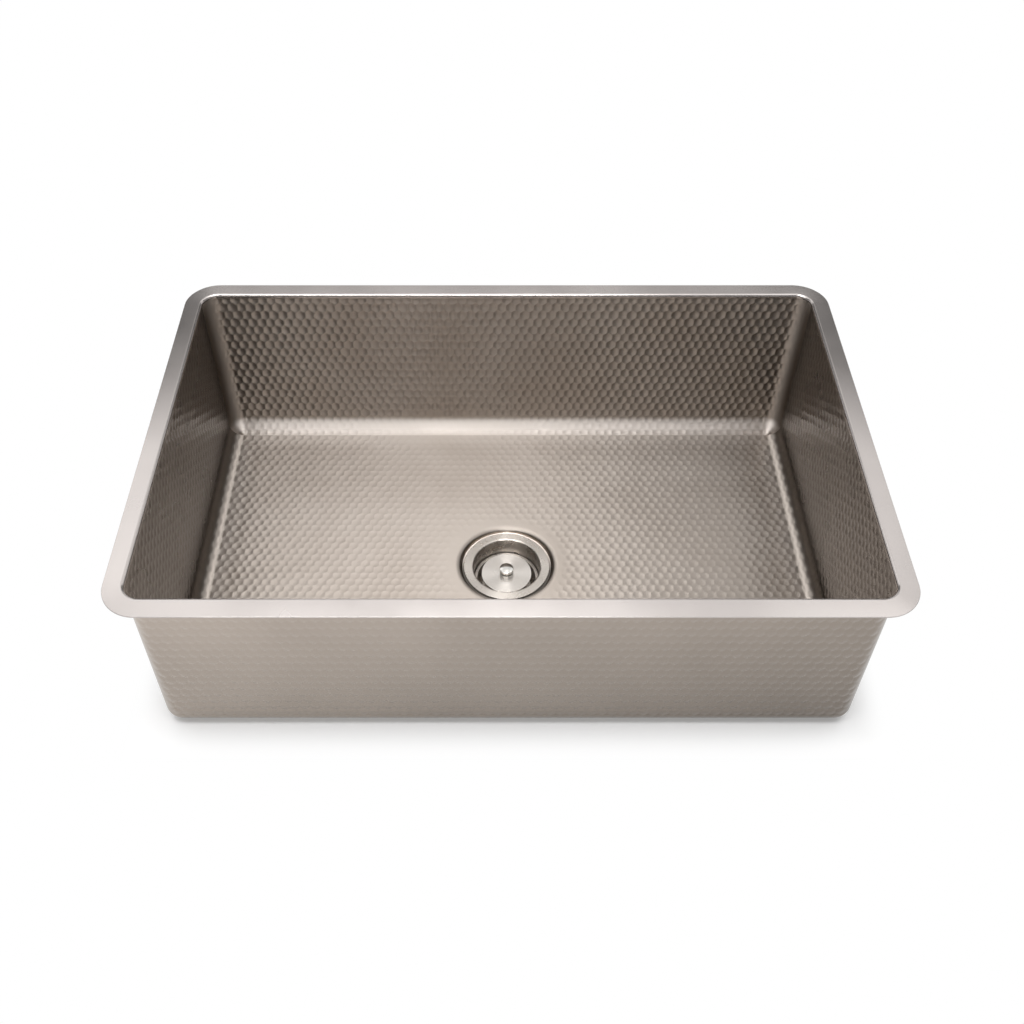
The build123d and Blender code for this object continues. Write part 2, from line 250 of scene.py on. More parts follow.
# ---- Bowl ---------------------------------------------------------------------------------------

foot = wall_corner_radius - floor_bend_radius
bend_end = foot + floor_bend_radius * pi / 2
wall_end = bend_end - floor_top - floor_bend_radius - rim_bend_radius
rim_bend_end = wall_end + rim_bend_radius * pi / 2
rim_end = rim_bend_end + rim_ledge + sheet - rim_bend_radius
hammered_end = wall_end - hammer_stop


def profile(t):
    """The sheet's face at t along it, out over the foot, up the wall and over the rim.

    Gives how far out and how far up it lies, and the direction through the sheet.
    """
    turn = np.clip((t - foot) / floor_bend_radius, 0, pi / 2)
    fold = np.clip((t - wall_end) / rim_bend_radius, 0, pi / 2)
    out = np.minimum(t, foot) + floor_bend_radius * np.sin(turn) + rim_bend_radius * (1 - np.cos(fold))
    rise = np.clip(t - bend_end, 0, wall_end - bend_end)
    up = floor_top + floor_bend_radius * (1 - np.cos(turn)) + rise + rim_bend_radius * np.sin(fold)
    return out, up, np.sin(turn - fold), -np.cos(turn - fold)


def climb(t):
    """From 0 in the middle of the floor's bend to 1 well up the wall."""
    return ease((t - bend_end / 2) / bend_end)


def hammered(sheet_x, sheet_y, t, share, deepening, bend_share):
    """How deep the walls' dimples are at t, where share says how much of the hammering there is."""
    bend = np.sin(pi * np.clip(t / (bend_end + foot), 0, 1)) ** 2
    share = share * ease((hammered_end - t) / plain_below_rim) * (1 - (1 - bend_share) * bend)
    return dimple_depth * share * (1 + (deepening - 1) * climb(t)) * dimples(sheet_x, sheet_y)


def on_sheet(half, t):
    """How far from the sheet's middle a place at t up a wall lay before the sheet was drawn."""
    return half + np.minimum(t, bend_end) + np.maximum(t - bend_end, 0) / wall_stretch


def floor_place(x, y, depth):
    """The flat floor."""
    corner = np.hypot(middle_x - np.abs(x), middle_y - np.abs(y))
    drain = np.hypot(x, y - drain_y) - recess_radius - recess_mouth_reach
    fade = ease(corner / plain_at_corner) * ease(drain / plain_at_drain)
    return np.stack([x, y, floor_top - dimple_depth * fade * dimples(x, y) - depth], -1)


def wall_place(out_x, out_y):
    """The place function of the wall towards (out_x, out_y). Its u runs along the wall and its v is t."""
    half, cross = (middle_x, middle_y) if out_x else (middle_y, middle_x)
    deepening, bend_share = (side_deepening, side_bend_share) if out_x else (back_deepening, back_bend_share)

    def place(u, t, depth):
        away = on_sheet(half, t)
        share = ease((cross - np.abs(u)) / plain_at_corner)
        if out_y:
            share = np.maximum(share, climb(t))
        sheet_x, sheet_y = out_x * away + out_y * u, out_y * away - out_x * u
        pressed = hammered(sheet_x, sheet_y, t, share, deepening, bend_share) + depth
        out, up, through_out, through_up = profile(t)
        out = half + out + through_out * pressed
        return np.stack([out_x * out + out_y * u, out_y * out - out_x * u, up + through_up * pressed], -1)

    return place


def corner_place(sign_x, sign_y):
    """The place function of an upright corner. Its u is the length turned along the corner, and its v is t.

    The front or back wall's hammering runs on into its first half and fades out there.
    """
    def place(u, t, depth):
        turn = np.arctan2(sign_y, sign_x) + pi / 4 - u / wall_corner_radius
        past = u if sign_x == sign_y else corner_length - u
        share = climb(t) * (1 - ease(2 * past / corner_length))
        sheet_x, sheet_y = sign_x * (middle_x + past), sign_y * on_sheet(middle_y, t)
        pressed = hammered(sheet_x, sheet_y, t, share, back_deepening, back_bend_share) + depth
        out, up, through_out, through_up = profile(t)
        out = out + through_out * pressed
        x, y = sign_x * middle_x + out * np.cos(turn), sign_y * middle_y + out * np.sin(turn)
        return np.stack([x, y, up + through_up * pressed], -1)

    return place


corner_length = wall_corner_radius * pi / 2
lap_length = 4 * (middle_x + middle_y + corner_length)


def lap(u):
    """Centre and direction at u along the way round the bowl, clockwise seen from above."""
    u = np.mod(u, lap_length)
    centre_x, centre_y, turn = (np.zeros_like(u) for _ in range(3))
    start, side_turn = 0.0, pi / 2
    for end_x, end_y, along_x in ((1, 1, True), (1, -1, False), (-1, -1, True), (-1, 1, False)):
        length = 2 * (middle_x if along_x else middle_y)
        on_side = (u >= start) & (u < start + length)
        left = start + length - u
        back_x, back_y = (end_x, 0) if along_x else (0, end_y)
        centre_x = np.where(on_side, end_x * middle_x - back_x * left, centre_x)
        centre_y = np.where(on_side, end_y * middle_y - back_y * left, centre_y)
        turn = np.where(on_side, side_turn, turn)
        start += length
        in_corner = (u >= start) & (u < start + corner_length)
        centre_x = np.where(in_corner, end_x * middle_x, centre_x)
        centre_y = np.where(in_corner, end_y * middle_y, centre_y)
        turn = np.where(in_corner, side_turn - (u - start) / wall_corner_radius, turn)
        start += corner_length
        side_turn -= pi / 2
    return centre_x, centre_y, np.cos(turn), np.sin(turn)


def lap_steps():
    """Places on the way round the bowl: about rim_step apart on the sides, and corner_parts to a corner."""
    places, start = [], 0.0
    for length in (2 * middle_x, 2 * middle_y) * 2:
        places.append(np.linspace(start, start + length, round(length / rim_step) + 1)[:-1])
        start += length
        places.append(np.linspace(start, start + corner_length, corner_parts + 1)[:-1])
        start += corner_length
    return np.concatenate(places)


def rim_place(u, t, depth):
    """The top of the walls, the bend over them and the flat rim with its rounded edge."""
    centre_x, centre_y, out_x, out_y = lap(u)
    out, up, through_out, through_up = profile(np.minimum(t, rim_bend_end))
    out = out + through_out * depth
    x, y, z = centre_x + out * out_x, centre_y + out * out_y, up + through_up * depth
    flat = rim_end - rim_bend_end
    edge_turn = np.clip((t - rim_end + rim_edge_round) / rim_edge_round, 0, 1) * pi / 2
    share = np.clip(t - rim_bend_end, 0, flat - rim_edge_round) + rim_edge_round * np.sin(edge_turn)
    share = np.where(t > rim_bend_end, share / flat, 0)
    edge_x = centre_x * (rim_half_length - rim_corner_radius) / middle_x + rim_corner_radius * out_x
    edge_y = centre_y * (rim_half_depth - rim_corner_radius) / middle_y + rim_corner_radius * out_y
    edge_y = edge_y - bowl_back
    sink = rim_edge_round * (1 - np.cos(edge_turn)) * (1 if depth == 0 else -1)
    return np.stack([x + share * (edge_x - x), y + share * (edge_y - y), z - sink], -1)


def drain_place(u, v, depth):
    """The floor from a square round the drain in to the pressed recess and its hole."""
    side = 2 * drain_square
    u = np.mod(u, 4 * side)
    number = np.floor(u / side)
    along = u - number * side - drain_square
    turn = number * pi / 2
    square_x = drain_square * np.cos(turn) - along * np.sin(turn)
    square_y = drain_square * np.sin(turn) + along * np.cos(turn)
    away = np.hypot(square_x, square_y)
    ray_x, ray_y = square_x / away, square_y / away
    mouth = recess_radius + recess_mouth_reach
    inward = np.clip(v / (drain_square - mouth), 0, 1)
    flat_x = square_x + inward * (ray_x * mouth - square_x)
    flat_y = square_y + inward * (ray_y * mouth - square_y)
    flat = floor_place(flat_x, flat_y + drain_y, depth)
    q = v - (drain_square - mouth)
    down = recess_depth - recess_mouth_round - recess_foot_round
    fold = np.clip(q / recess_mouth_round, 0, pi / 2)
    foot_start = recess_mouth_round * pi / 2 + down
    unfold = np.clip((q - foot_start) / recess_foot_round, 0, pi / 2)
    radius = mouth - recess_mouth_reach * np.sin(fold) - recess_foot_round * (1 - np.cos(unfold))
    radius = radius - np.maximum(q - foot_start - recess_foot_round * pi / 2, 0)
    drop = recess_mouth_round * (1 - np.cos(fold)) + recess_foot_round * np.sin(unfold)
    drop = drop + np.clip(q - recess_mouth_round * pi / 2, 0, down)
    radius = radius + np.sin(fold - unfold) * depth
    height = floor_top - drop - np.cos(fold - unfold) * depth
    pressed = np.stack([ray_x * radius, ray_y * radius + drain_y, height], -1)
    return np.where((q > 0)[..., None], pressed, flat)


x_stops = {"left": (-middle_x, -drain_square, 0.0), "right": (0.0, drain_square, middle_x)}
y_stops = {
    "front": (-middle_y, drain_y - drain_square, drain_y),
    "back": (drain_y, drain_y + drain_square, middle_y),
}
up_wall = np.concatenate([[0.0], steps(foot, bend_end, hammered_end)])


def make_quarter(end, side):
    """One quarter of the floor, the half of the front or back wall next to it, and their upright corner."""
    x, y = steps(*x_stops[side]), steps(*y_stops[end])
    mid_x, mid_y = np.meshgrid((x[1:] + x[:-1]) / 2, (y[1:] + y[:-1]) / 2, indexing="ij")
    keep = (np.abs(mid_x) > drain_square) | (np.abs(mid_y - drain_y) > drain_square)
    sign_x, sign_y = (-1 if side == "left" else 1), (-1 if end == "front" else 1)
    turns = np.linspace(0, corner_length, corner_parts + 1)
    return [
        slab(f"bowl_floor_{end}_{side}", floor_place, x, y, keep),
        slab(f"bowl_wall_{end}_{side}", wall_place(0, sign_y), np.sort(sign_y * x), up_wall),
        slab(f"bowl_corner_{end}_{side}", corner_place(sign_x, sign_y), turns, up_wall),
    ]


def make_side_wall(side, sign):
    """The left or right wall, in one piece."""
    y = np.concatenate([steps(*y_stops["front"]), steps(*y_stops["back"])[1:]])
    return slab(f"bowl_wall_{side}", wall_place(sign, 0), np.sort(-sign * y), up_wall, turned=True)


def make_drain_recess():
    """The square of floor round the drain, with the pressed recess and its hole."""
    ends = drain_square - recess_radius - recess_mouth_reach
    mouth_end = ends + recess_mouth_round * pi / 2
    foot_start = mouth_end + recess_depth - recess_mouth_round - recess_foot_round
    foot_end = foot_start + recess_foot_round * pi / 2
    hole = foot_end + recess_radius - recess_foot_round - drain_hole_radius
    inward = np.concatenate([
        np.linspace(0, ends, drain_floor_parts + 1),
        np.linspace(ends, mouth_end, recess_mouth_parts + 1)[1:],
        np.linspace(foot_start, foot_end, recess_foot_parts + 1),
        np.linspace(foot_end, hole, recess_floor_parts + 1)[1:],
    ])
    quarter = steps(-drain_square, 0.0, drain_square)[:-1] + drain_square
    around = np.concatenate([quarter + number * 2 * drain_square for number in range(4)])
    return slab("bowl_drain_recess", drain_place, around, inward, ring=True, flat=True)


def make_rim():
    """The rim in one ring, with the bend over the walls and the smooth top of the walls under it."""
    over = np.concatenate([
        [hammered_end], np.linspace(wall_end, rim_bend_end, rim_bend_parts + 1),
        np.linspace(rim_end - rim_edge_round, rim_end, rim_edge_parts + 1),
    ])
    return slab("bowl_rim", rim_place, lap_steps(), over, ring=True)


def make_bowl():
    """The bowl's sheet, in closed pieces that meet edge to edge."""
    pieces = []
    for end in y_stops:
        for side in x_stops:
            pieces += make_quarter(end, side)
    for side, sign in (("left", -1), ("right", 1)):
        pieces.append(make_side_wall(side, sign))
    return pieces + [make_drain_recess(), make_rim()]


# ---- Materials ----------------------------------------------------------------------------------

floor_colour = (0.38, 0.336, 0.299)
floor_roughness = 0.42
# Painted highlight: the floor's colour in the lower bends, lighter where they catch the light
floor_bend_highlight_colour = (0.52, 0.47, 0.43)
wall_colour = (0.37, 0.323, 0.284)
wall_roughness = 0.42
# Painted highlight: the front and back walls' colour in their lower bends
wall_bend_highlight_colour = (0.85, 0.79, 0.74)
# Painted shade: the side walls' colour is darker than the other walls'; their lower roughness is their own
side_shaded_colour = (0.24, 0.217, 0.199)
side_roughness = 0.27
# Painted highlight: the side walls' colour in their lower bends
side_bend_highlight_colour = (0.46, 0.415, 0.375)
inner_brushing = 0.93           # how much the highlights are drawn out, from 0 to 1
outer_brushing = 0.5
rim_brushing = 0.8
noise_span = (0.3, 0.7)         # where most of a noise texture's values lie
steel_mottle = 0.02             # how far a steel's colour strays either way
inner_mottle = 0.03             # and the roughness of the bowl's inside
turned_mottle = 0.1             # share by which turned steel's roughness strays
plain_mottle, plain_wear = 0.06, 0.15      # and the colour and the roughness of plain finishes
mottle_detail = 4.0
cloud_scale = 9.0               # of the slow changes on the bowl's sheet
rim_cloud_scale = 12.0
mottle_scale = 60.0             # of those on the small pieces
grain_scale = 1500.0            # of the fine grain on steel
grain_depth = 0.004
turned_grain_depth = 0.003
grain_detail = 2.0
quarter_turn = 0.25             # draws highlights out across the tangent instead of along it
along_sheet = {"direction_type": "UV_MAP", "uv_map": "sheet"}
round_axis = {"direction_type": "RADIAL", "axis": "Z"}

# Heights over the floor, in millimetres, between which the bowl's inside changes
climb_heights = (1.0, 25.0)     # from the floor's finish to the wall's
painted_highlight_heights = (0.0, 3.0)     # into the bend's painted highlight
painted_highlight_fade_heights = (6.0, 20.0)      # and out of it
painted_groove_heights = (-4.5, -2.5)   # out of the drain's groove with its painted shade and light

side_painted_highlight_width, side_painted_highlight = 25.0, 0.5     # how much of the bends' painted highlight the floor has next to them
end_painted_highlight_width, end_painted_highlight = 30.0, 0.4
bend_roughening = 0.22
painted_groove_span = (-10.0, 40.0)     # Y from the drain's axis over which the groove's painted shade turns into painted light
painted_groove_shares = (0.2, 2.2)      # from painted shade near the front to painted light behind

outer_colours = ((0.315, 0.273, 0.237), (0.345, 0.3, 0.261))
outer_roughness = (0.2, 0.23)
outer_painted_light_level = 1.25              # painted light: how much the outside's colour is multiplied by under the rim's middle
outer_painted_light_by_x, outer_painted_light_by_z = -0.6, 2.2         # and how that changes a metre to the right and a metre up

rim_colours = ((0.525, 0.485, 0.465), (0.545, 0.505, 0.485))
rim_roughness = (0.22, 0.28)
rim_grain = (40, 4000, 1)       # the rim's brushing: long along it and fine across


def node(tree, kind, *inputs, **settings):
    """A node of a shader tree with its settings, and its inputs linked or set in their order."""
    made = tree.nodes.new(kind)
    for name, value in settings.items():
        setattr(made, name, value)
    for socket, value in zip(made.inputs, inputs):
        if isinstance(value, bpy.types.NodeSocket):
            tree.links.new(value, socket)
        elif value is not None:
            socket.default_value = value
    return made


def calc(tree, operation, *inputs):
    """The result of a Math node."""
    return node(tree, "ShaderNodeMath", *inputs, operation=operation).outputs[0]


def smooth_step(tree, value, start, end, low, high):
    """From low to high, level at both ends, as a value goes from start to end."""
    kind = "ShaderNodeMapRange"
    return node(tree, kind, value, start, end, low, high, interpolation_type="SMOOTHSTEP").outputs[0]


def places(tree, source="Object"):
    """The separated X, Y and Z of a shader tree's coordinates."""
    return node(tree, "ShaderNodeSeparateXYZ", node(tree, "ShaderNodeTexCoord").outputs[source]).outputs


def shader(name, colour, roughness, metallic=0.0):
    """A new material with one Principled shader. Returns the material, its node tree and the shader."""
    material = bpy.data.materials.new(name)
    material.use_nodes = True
    tree = material.node_tree
    principled = tree.nodes["Principled BSDF"]
    principled.inputs["Base Color"].default_value = (*colour, 1)
    principled.inputs["Roughness"].default_value = roughness
    principled.inputs["Metallic"].default_value = metallic
    return material, tree, principled


def noise(tree, scale, detail, stretch=(1, 1, 1), source="Object"):
    """A noise texture's value output. Its coordinates are metres, times stretch."""
    where = node(tree, "ShaderNodeTexCoord").outputs[source]
    mapped = node(tree, "ShaderNodeMapping", where, None, None, stretch).outputs["Vector"]
    return node(tree, "ShaderNodeTexNoise", mapped, None, scale, detail).outputs["Fac"]


def between(tree, factor, low, high):
    """Maps most of a noise texture's values to low to high, numbers or colours."""
    if isinstance(low, (int, float)):
        return node(tree, "ShaderNodeMapRange", factor, *noise_span, low, high).outputs["Result"]
    return mixed(tree, between(tree, factor, 0.0, 1.0), low, high)


def mixed(tree, factor, low, high):
    """From one colour to another."""
    mix = node(tree, "ShaderNodeMix", factor, data_type="RGBA")
    for socket, value in ((mix.inputs["A"], low), (mix.inputs["B"], high)):
        if isinstance(value, tuple):
            socket.default_value = (*value, 1)
        else:
            tree.links.new(value, socket)
    return mix.outputs["Result"]


def scaled(tree, colour, share):
    """A colour times a number."""
    product = node(tree, "ShaderNodeVectorMath", colour, operation="SCALE")
    tree.links.new(share, product.inputs["Scale"])
    return product.outputs["Vector"]


def shades(colour, step=steel_mottle):
    """A colour a step darker and a step lighter."""
    return tuple(c - step for c in colour), tuple(c + step for c in colour)


def spread(value, share):
    """A value less a share of it and more by that share."""
    return value * (1 - share), value * (1 + share)


def bump(tree, principled, height, distance):
    """Bump from a texture's value. distance is in millimetres."""
    made = tree.nodes.new("ShaderNodeBump")
    made.inputs["Strength"].default_value = 1.0
    made.inputs["Distance"].default_value = distance * mm
    tree.links.new(height, made.inputs["Height"])
    tree.links.new(made.outputs["Normal"], principled.inputs["Normal"])


def varied(tree, principled, factor, colours, roughness):
    """Lets a texture vary the colour and the roughness."""
    tree.links.new(between(tree, factor, *colours), principled.inputs["Base Color"])
    tree.links.new(between(tree, factor, *roughness), principled.inputs["Roughness"])


def brush(tree, principled, amount, direction=along_sheet):
    """Draws highlights out across a direction, as brushing along it does."""
    tangent = node(tree, "ShaderNodeTangent", **direction)
    principled.inputs["Anisotropic"].default_value = amount
    principled.inputs["Anisotropic Rotation"].default_value = quarter_turn
    tree.links.new(tangent.outputs["Tangent"], principled.inputs["Tangent"])


def hammered_steel(name, colour, bend_highlight_colour, roughness):
    """A brushed finish of the bowl's inside.

    It turns from the floor's finish into this one up the bends, which carry a painted highlight. In the
    drain's groove it carries painted shade on the near side and painted light on the far one.
    """
    material, tree, principled = shader(name, colour, roughness, 1.0)
    brush(tree, principled, inner_brushing)
    place = places(tree)
    height = calc(tree, "MULTIPLY_ADD", place["Z"], 1 / mm, -floor_top)
    aside = calc(tree, "ABSOLUTE", calc(tree, "MULTIPLY", place["X"], 1 / mm))
    along = calc(tree, "MULTIPLY_ADD", place["Y"], 1 / mm, -bowl_back)
    climbed = smooth_step(tree, height, *climb_heights, 0.0, 1.0)

    cloud = noise(tree, cloud_scale, mottle_detail)
    (floor_dark, floor_light), (dark, light) = shades(floor_colour), shades(colour)
    lighter = mixed(tree, climbed, floor_light, light)
    darker = mixed(tree, climbed, floor_dark, dark)
    base = mixed(tree, between(tree, cloud, 0.0, 1.0), darker, lighter)

    # Painted highlight in the lower bends, mixed over the colour
    bend = painted_bend_highlight(tree, height, aside, along)
    base = mixed(tree, bend, base, bend_highlight_colour)
    # Painted shade and painted light in the drain's groove, as a factor on the colour
    share = painted_groove_light(tree, height, along)
    tree.links.new(scaled(tree, base, share), principled.inputs["Base Color"])
    rough = calc(tree, "MULTIPLY_ADD", climbed, roughness - floor_roughness, floor_roughness)
    rough = calc(tree, "MULTIPLY_ADD", bend, bend_roughening, rough)
    rough = calc(tree, "ADD", rough, between(tree, cloud, -inner_mottle, inner_mottle))
    tree.links.new(rough, principled.inputs["Roughness"])
    bump(tree, principled, noise(tree, grain_scale, grain_detail), grain_depth)
    return material


def painted_bend_highlight(tree, height, aside, along):
    """The painted highlight in the bowl's lower bends: 1 just up them, less on the floor by them."""
    at_sides = smooth_step(tree, aside, middle_x - side_painted_highlight_width, middle_x, 0.0, side_painted_highlight)
    behind = calc(tree, "ABSOLUTE", along)
    at_ends = smooth_step(tree, behind, middle_y - end_painted_highlight_width, middle_y, 0.0, end_painted_highlight)
    near = calc(tree, "MAXIMUM", at_sides, at_ends)
    bend = calc(tree, "MAXIMUM", near, smooth_step(tree, height, *painted_highlight_heights, 0.0, 1.0))
    return calc(tree, "MULTIPLY", bend, smooth_step(tree, height, *painted_highlight_fade_heights, 1.0, 0.0))


def painted_groove_light(tree, height, along):
    """What the sheet's colour is multiplied by: painted shade in front of the drain's groove, painted light
    behind it, and 1 outside it.
    """
    sunk = smooth_step(tree, height, *painted_groove_heights, 1.0, 0.0)
    near_end, far_end = (drain_y + distance for distance in painted_groove_span)
    painted_groove = smooth_step(tree, along, near_end, far_end, *painted_groove_shares)
    return calc(tree, "MULTIPLY_ADD", sunk, calc(tree, "SUBTRACT", painted_groove, 1.0), 1.0)


def outer_steel():
    """The bowl's outside, with painted light: it gets lighter towards the rim and towards the left."""
    material, tree, principled = shader("outer_steel", outer_colours[0], sum(outer_roughness) / 2, 1.0)
    brush(tree, principled, outer_brushing)
    cloud = noise(tree, cloud_scale, mottle_detail)
    varied(tree, principled, cloud, outer_colours, outer_roughness)
    # Painted light: the colour is scaled lighter to the left and to the top
    place = places(tree)
    share = calc(tree, "MULTIPLY_ADD", place["X"], outer_painted_light_by_x, outer_painted_light_level)
    share = calc(tree, "MULTIPLY_ADD", place["Z"], outer_painted_light_by_z, share)
    cloudy = principled.inputs["Base Color"].links[0].from_socket
    tree.links.new(scaled(tree, cloudy, share), principled.inputs["Base Color"])
    bump(tree, principled, noise(tree, grain_scale, grain_detail), grain_depth)
    return material


def rim_steel():
    """The rim, finely brushed along its sides."""
    material, tree, principled = shader("rim_steel", rim_colours[0], sum(rim_roughness) / 2, 1.0)
    brush(tree, principled, rim_brushing)
    cloud = noise(tree, rim_cloud_scale, mottle_detail)
    varied(tree, principled, cloud, rim_colours, rim_roughness)
    bump(tree, principled, noise(tree, 1.0, grain_detail, rim_grain, "UV"), grain_depth)
    return material


def turned_steel(name, colour, roughness, amount):
    """Steel brushed in circles round its own upright axis."""
    material, tree, principled = shader(name, colour, roughness, 1.0)
    brush(tree, principled, amount, round_axis)
    mottle = noise(tree, mottle_scale, mottle_detail)
    varied(tree, principled, mottle, shades(colour), spread(roughness, turned_mottle))
    bump(tree, principled, noise(tree, grain_scale, grain_detail), turned_grain_depth)
    return material


def plain(name, colour, roughness, metallic=0.0, grain=600.0, depth=0.01):
    """A finish with a slight mottle and a fine grain of its own scale and depth."""
    material, tree, principled = shader(name, colour, roughness, metallic)
    mottle = noise(tree, mottle_scale, mottle_detail)
    colours = zip(*(spread(c, plain_mottle) for c in colour))
    varied(tree, principled, mottle, colours, spread(roughness, plain_wear))
    bump(tree, principled, noise(tree, grain, grain_detail), depth)
    return material


def dress_nodes():
    """Gives every CAD node that stays its finish."""
    steel = turned_steel("strainer_steel", (0.6, 0.55, 0.5), 0.28, 0.95)
    disc = turned_steel("disc_steel", (0.68, 0.635, 0.59), 0.25, 0.97)
    knob = plain("knob_steel", (0.6, 0.58, 0.55), 0.18, 1.0)
    brass = plain("spigot_brass", (0.62, 0.47, 0.25), 0.3, 1.0)
    chrome = plain("coupling_chrome", (0.62, 0.62, 0.62), 0.12, 1.0)
    zinc = plain("nut_zinc", (0.48, 0.48, 0.47), 0.42, 1.0)
    rubber = plain("black_rubber", (0.03, 0.03, 0.03), 0.6)
    soft = plain("soft_seal", (0.05, 0.05, 0.048), 0.7)
    pad = plain("sound_pad", (0.1, 0.1, 0.1), 0.85, 0.0, 900.0, 0.1)
    fibre = plain("fibre_ring", (0.42, 0.3, 0.2), 0.8)
    white = plain("white_washer", (0.75, 0.75, 0.73), 0.4)
    finishes = {
        "strainer_body": steel, "basket_cup": steel, "basket_stem": steel, "stem_clip": steel,
        "spacer_sleeve": steel, "cover_disc": disc, "pull_knob": knob, "outlet_spigot": brass,
        "coupling_nut": chrome, "lock_nut": zinc, "body_gasket": rubber, "stopper_seal": rubber,
        "flange_seal": soft, "friction_ring": fibre, "outlet_washer": white, "seal_washer": white,
    }
    for name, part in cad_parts.items():
        finish = pad if name.startswith("sound_pad") else finishes.get(name)
        if finish:
            for slot in part.material_slots:
                slot.material = finish
            if not part.material_slots:
                part.data.materials.append(finish)


# ---- Studio -------------------------------------------------------------------------------------

floor_margin = 300.0            # how far the floor reaches beyond the bowl's walls
floor_hole = (300.0, 180.0)     # half the size of the hole that the drain hangs through
shadow_reach = 46.0             # how far from the walls the floor turns pure white
floor_lift = 0.26               # how bright the floor looks where no light falls on it
floor_paleness = 0.9

# The world, by direction: X right, Y back and Z up, each from -1 to 1
back_start = (0.1, 0.6)         # Y where its front turns into its back
front_ceiling, back_ceiling = 0.02, 0.52   # how bright it is high up
ceiling_start = (0.12, 0.26)    # Z where the white round the horizon turns into the ceiling in front
back_rise = 0.2                 # how much higher it does so at the back
corner_shade = 0.85             # the light that the studio's back corners lack
corner_aside = (0.15, 0.3)      # X to either side where they start
corner_behind = (0.66, 0.76)    # Y where they start
corner_above = (0.02, 0.12)     # Z where they start

# Columns of soft boxes: each one's left and right end in metres, and how bright its boxes in front, on top
# and at the back are, where 1 is white
light_columns = (
    (-1.9, -0.9, 2.0, 1.0, 1.3),
    (-0.9, -0.25, 8.4, 1.1, 0.6),
    (-0.25, 0.4, 9.2, 1.7, 0.65),
    (0.4, 0.9, 2.0, 1.1, 0.5),
    (0.9, 1.9, 2.1, 1.8, 0.85),
)
# Rows: each one's name, Y and Z, the Y that it is aimed at and its depth, in metres
light_rows = (
    ("front", -0.5, 2.2, -0.5, 1.1),
    ("top", 0.6, 2.2, 0.6, 1.1),
    ("back", 1.65, 2.0, 0.0, 0.85),
)

camera_lens = 40.252            # for a sensor 36 mm wide
camera_shift = 0.01927
camera_place = (-0.0183, -0.9425, 0.8887)
camera_down = 47.515            # degrees below the level


def pale_material(wall_x, wall_y):
    """The floor's finish, which turns from a pale floor into pure white away from the bowl's walls."""
    material, tree, principled = shader("pale_floor", (floor_paleness,) * 3, floor_paleness)
    path = node(tree, "ShaderNodeLightPath").outputs
    seen = calc(tree, "MAXIMUM", path["Is Camera Ray"], path["Is Glossy Ray"])
    seen = calc(tree, "MAXIMUM", seen, path["Is Transmission Ray"])
    place = places(tree)
    away_x = calc(tree, "SUBTRACT", calc(tree, "ABSOLUTE", place["X"]), wall_x)
    away_y = calc(tree, "SUBTRACT", calc(tree, "ABSOLUTE", place["Y"]), wall_y)
    fade = smooth_step(tree, calc(tree, "MAXIMUM", away_x, away_y), 0.0, shadow_reach * mm, 0.0, 1.0)
    shade = calc(tree, "MULTIPLY", calc(tree, "SUBTRACT", 1.0, fade), floor_paleness)
    grey = node(tree, "ShaderNodeCombineXYZ", shade, shade, shade).outputs[0]
    tree.links.new(grey, principled.inputs["Base Color"])
    lift = calc(tree, "MULTIPLY_ADD", fade, 1.0 - floor_lift, floor_lift)
    principled.inputs["Specular IOR Level"].default_value = 0.0
    principled.inputs["Emission Color"].default_value = (1, 1, 1, 1)
    tree.links.new(calc(tree, "MULTIPLY", seen, lift), principled.inputs["Emission Strength"])
    return material


def make_floor():
    """A pale floor round the sink, with a hole under it that the drain hangs through."""
    level = reach("sound_pad_front_left", 2)[0] * mm
    wall_x, wall_y = (rim_half_length - rim_ledge) * mm, (rim_half_depth - front_ledge) * mm
    outer_x, outer_y = wall_x + floor_margin * mm, wall_y + floor_margin * mm
    inner_x, inner_y = (half * mm for half in floor_hole)
    ring = [(-1, -1), (1, -1), (1, 1), (-1, 1)]
    points = [(x * outer_x, y * outer_y, level) for x, y in ring]
    points += [(x * inner_x, y * inner_y, level) for x, y in ring]
    quads = [(k, (k + 1) % 4, (k + 1) % 4 + 4, k + 4) for k in range(4)]
    mesh = bpy.data.meshes.new("floor")
    mesh.from_pydata(points, [], quads)
    floor = bpy.data.objects.new("floor", mesh)
    bpy.context.scene.collection.objects.link(floor)
    mesh.materials.append(pale_material(wall_x, wall_y))


def make_world():
    """A studio with white round the horizon and below it.

    Above that it is dim in front, lighter at the back and dark in its back corners.
    """
    world = bpy.data.worlds.new("studio")
    bpy.context.scene.world = world
    world.use_nodes = True
    tree = world.node_tree
    background = tree.nodes["Background"]
    place = places(tree, "Generated")
    back = smooth_step(tree, place["Y"], *back_start, 0.0, 1.0)
    ceiling = calc(tree, "MULTIPLY_ADD", back, back_ceiling - front_ceiling, front_ceiling)
    height = calc(tree, "MULTIPLY_ADD", back, -back_rise, place["Z"])
    high = smooth_step(tree, height, *ceiling_start, 0.0, 1.0)
    strength = calc(tree, "MULTIPLY_ADD", high, calc(tree, "SUBTRACT", ceiling, 1.0), 1.0)
    corner = smooth_step(tree, calc(tree, "ABSOLUTE", place["X"]), *corner_aside, 0.0, corner_shade)
    corner = calc(tree, "MULTIPLY", corner, smooth_step(tree, place["Y"], *corner_behind, 0.0, 1.0))
    corner = calc(tree, "MULTIPLY", corner, smooth_step(tree, place["Z"], *corner_above, 0.0, 1.0))
    strength = calc(tree, "MULTIPLY", strength, calc(tree, "SUBTRACT", 1.0, corner))
    # Looked at directly or through something clear, the whole studio is white.
    path = node(tree, "ShaderNodeLightPath").outputs
    seen = calc(tree, "MAXIMUM", path["Is Camera Ray"], path["Is Transmission Ray"])
    tree.links.new(calc(tree, "MAXIMUM", strength, seen), background.inputs["Strength"])
    background.inputs["Color"].default_value = (1, 1, 1, 1)


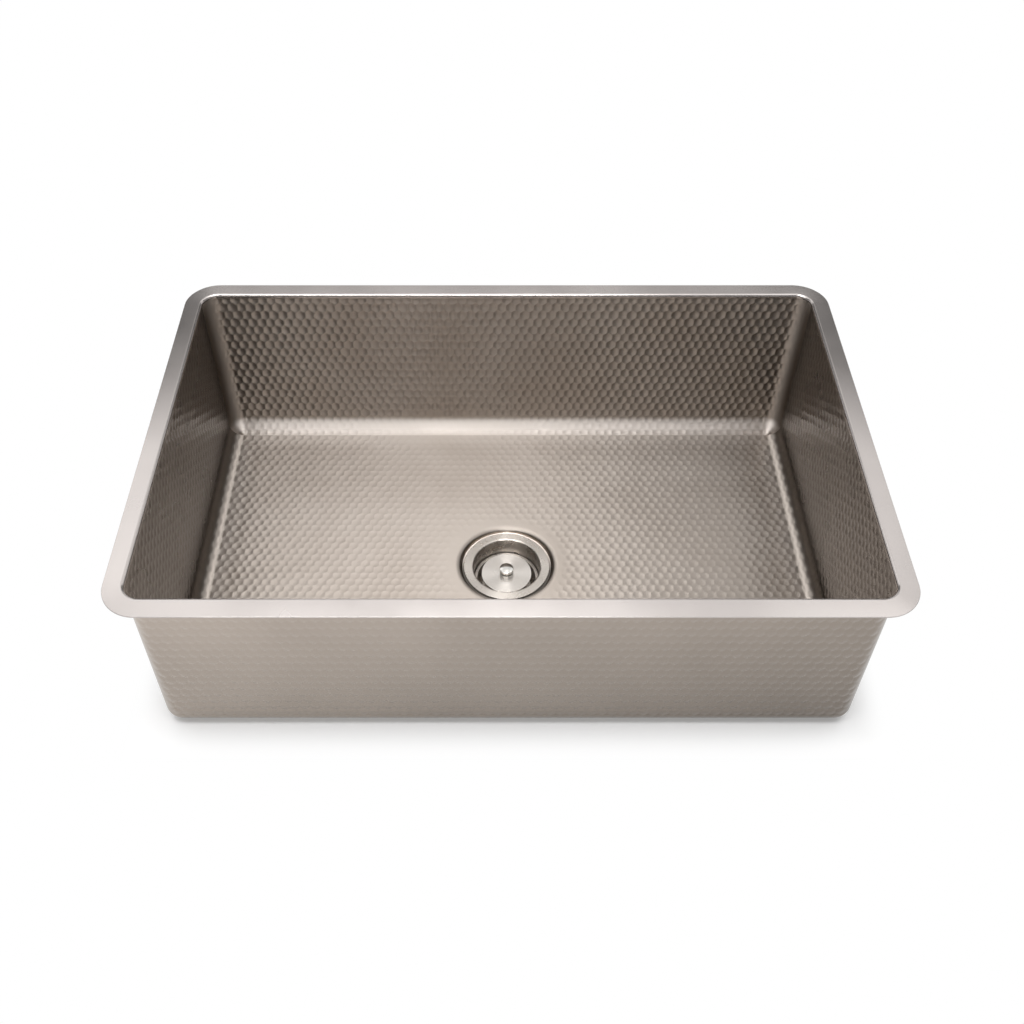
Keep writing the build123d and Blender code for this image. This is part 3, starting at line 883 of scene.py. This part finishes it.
def area_light(name, place, aim, size, radiance):
    """A soft box, in metres, that looks as bright as radiance says, where 1 is white."""
    lamp = bpy.data.lights.new(name, "AREA")
    lamp.shape = "RECTANGLE"
    lamp.size, lamp.size_y = size
    lamp.energy = radiance * pi * size[0] * size[1]
    made = bpy.data.objects.new(name, lamp)
    made.location = place
    made.rotation_euler = (Vector(aim) - Vector(place)).to_track_quat("-Z", "Y").to_euler()
    bpy.context.scene.collection.objects.link(made)


def make_lights():
    """Three rows of five soft boxes each: over the sink's front, over its back, and high up behind it."""
    for number, (start, end, *levels) in enumerate(light_columns, 1):
        x, width = (start + end) / 2, end - start
        for (row, y, z, aim_y, depth), radiance in zip(light_rows, levels):
            area_light(f"{row}_{number}", (x, y, z), (x, aim_y, 0.0), (width, depth), radiance)


def make_camera():
    """The photo's camera, fitted to the straight edges of the rim and the bowl."""
    camera = bpy.data.cameras.new("camera")
    camera.sensor_width = 36.0
    camera.lens = camera_lens
    camera.shift_x = camera_shift
    made = bpy.data.objects.new("camera", camera)
    made.location = camera_place
    made.rotation_euler = (radians(90 - camera_down), 0, 0)
    bpy.context.scene.collection.objects.link(made)
    bpy.context.scene.camera = made


# ---- The scene ----------------------------------------------------------------------------------

floor_finish = hammered_steel("hammered_floor", floor_colour, floor_bend_highlight_colour, floor_roughness)
wall_finish = hammered_steel("hammered_wall", wall_colour, wall_bend_highlight_colour, wall_roughness)
# The side walls' finish: painted shade in a darker colour, and a glossier sheet
shaded_side_finish = hammered_steel("hammered_side", side_shaded_colour, side_bend_highlight_colour, side_roughness)
rim_finish = rim_steel()
outside = outer_steel()
for piece in make_bowl():
    kind = piece.name.split("_")[1]
    face = {"floor": floor_finish, "drain": floor_finish, "rim": rim_finish}.get(kind, wall_finish)
    piece.data.materials.append(shaded_side_finish if piece.name in ("bowl_wall_left", "bowl_wall_right") else face)
    piece.data.materials.append(rim_finish if piece.name == "bowl_rim" else outside)
    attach(piece, "sink")
    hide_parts("sink_bowl")
dress_nodes()
make_floor()
make_world()
make_lights()
make_camera()
bpy.context.scene.view_settings.view_transform = "Standard"
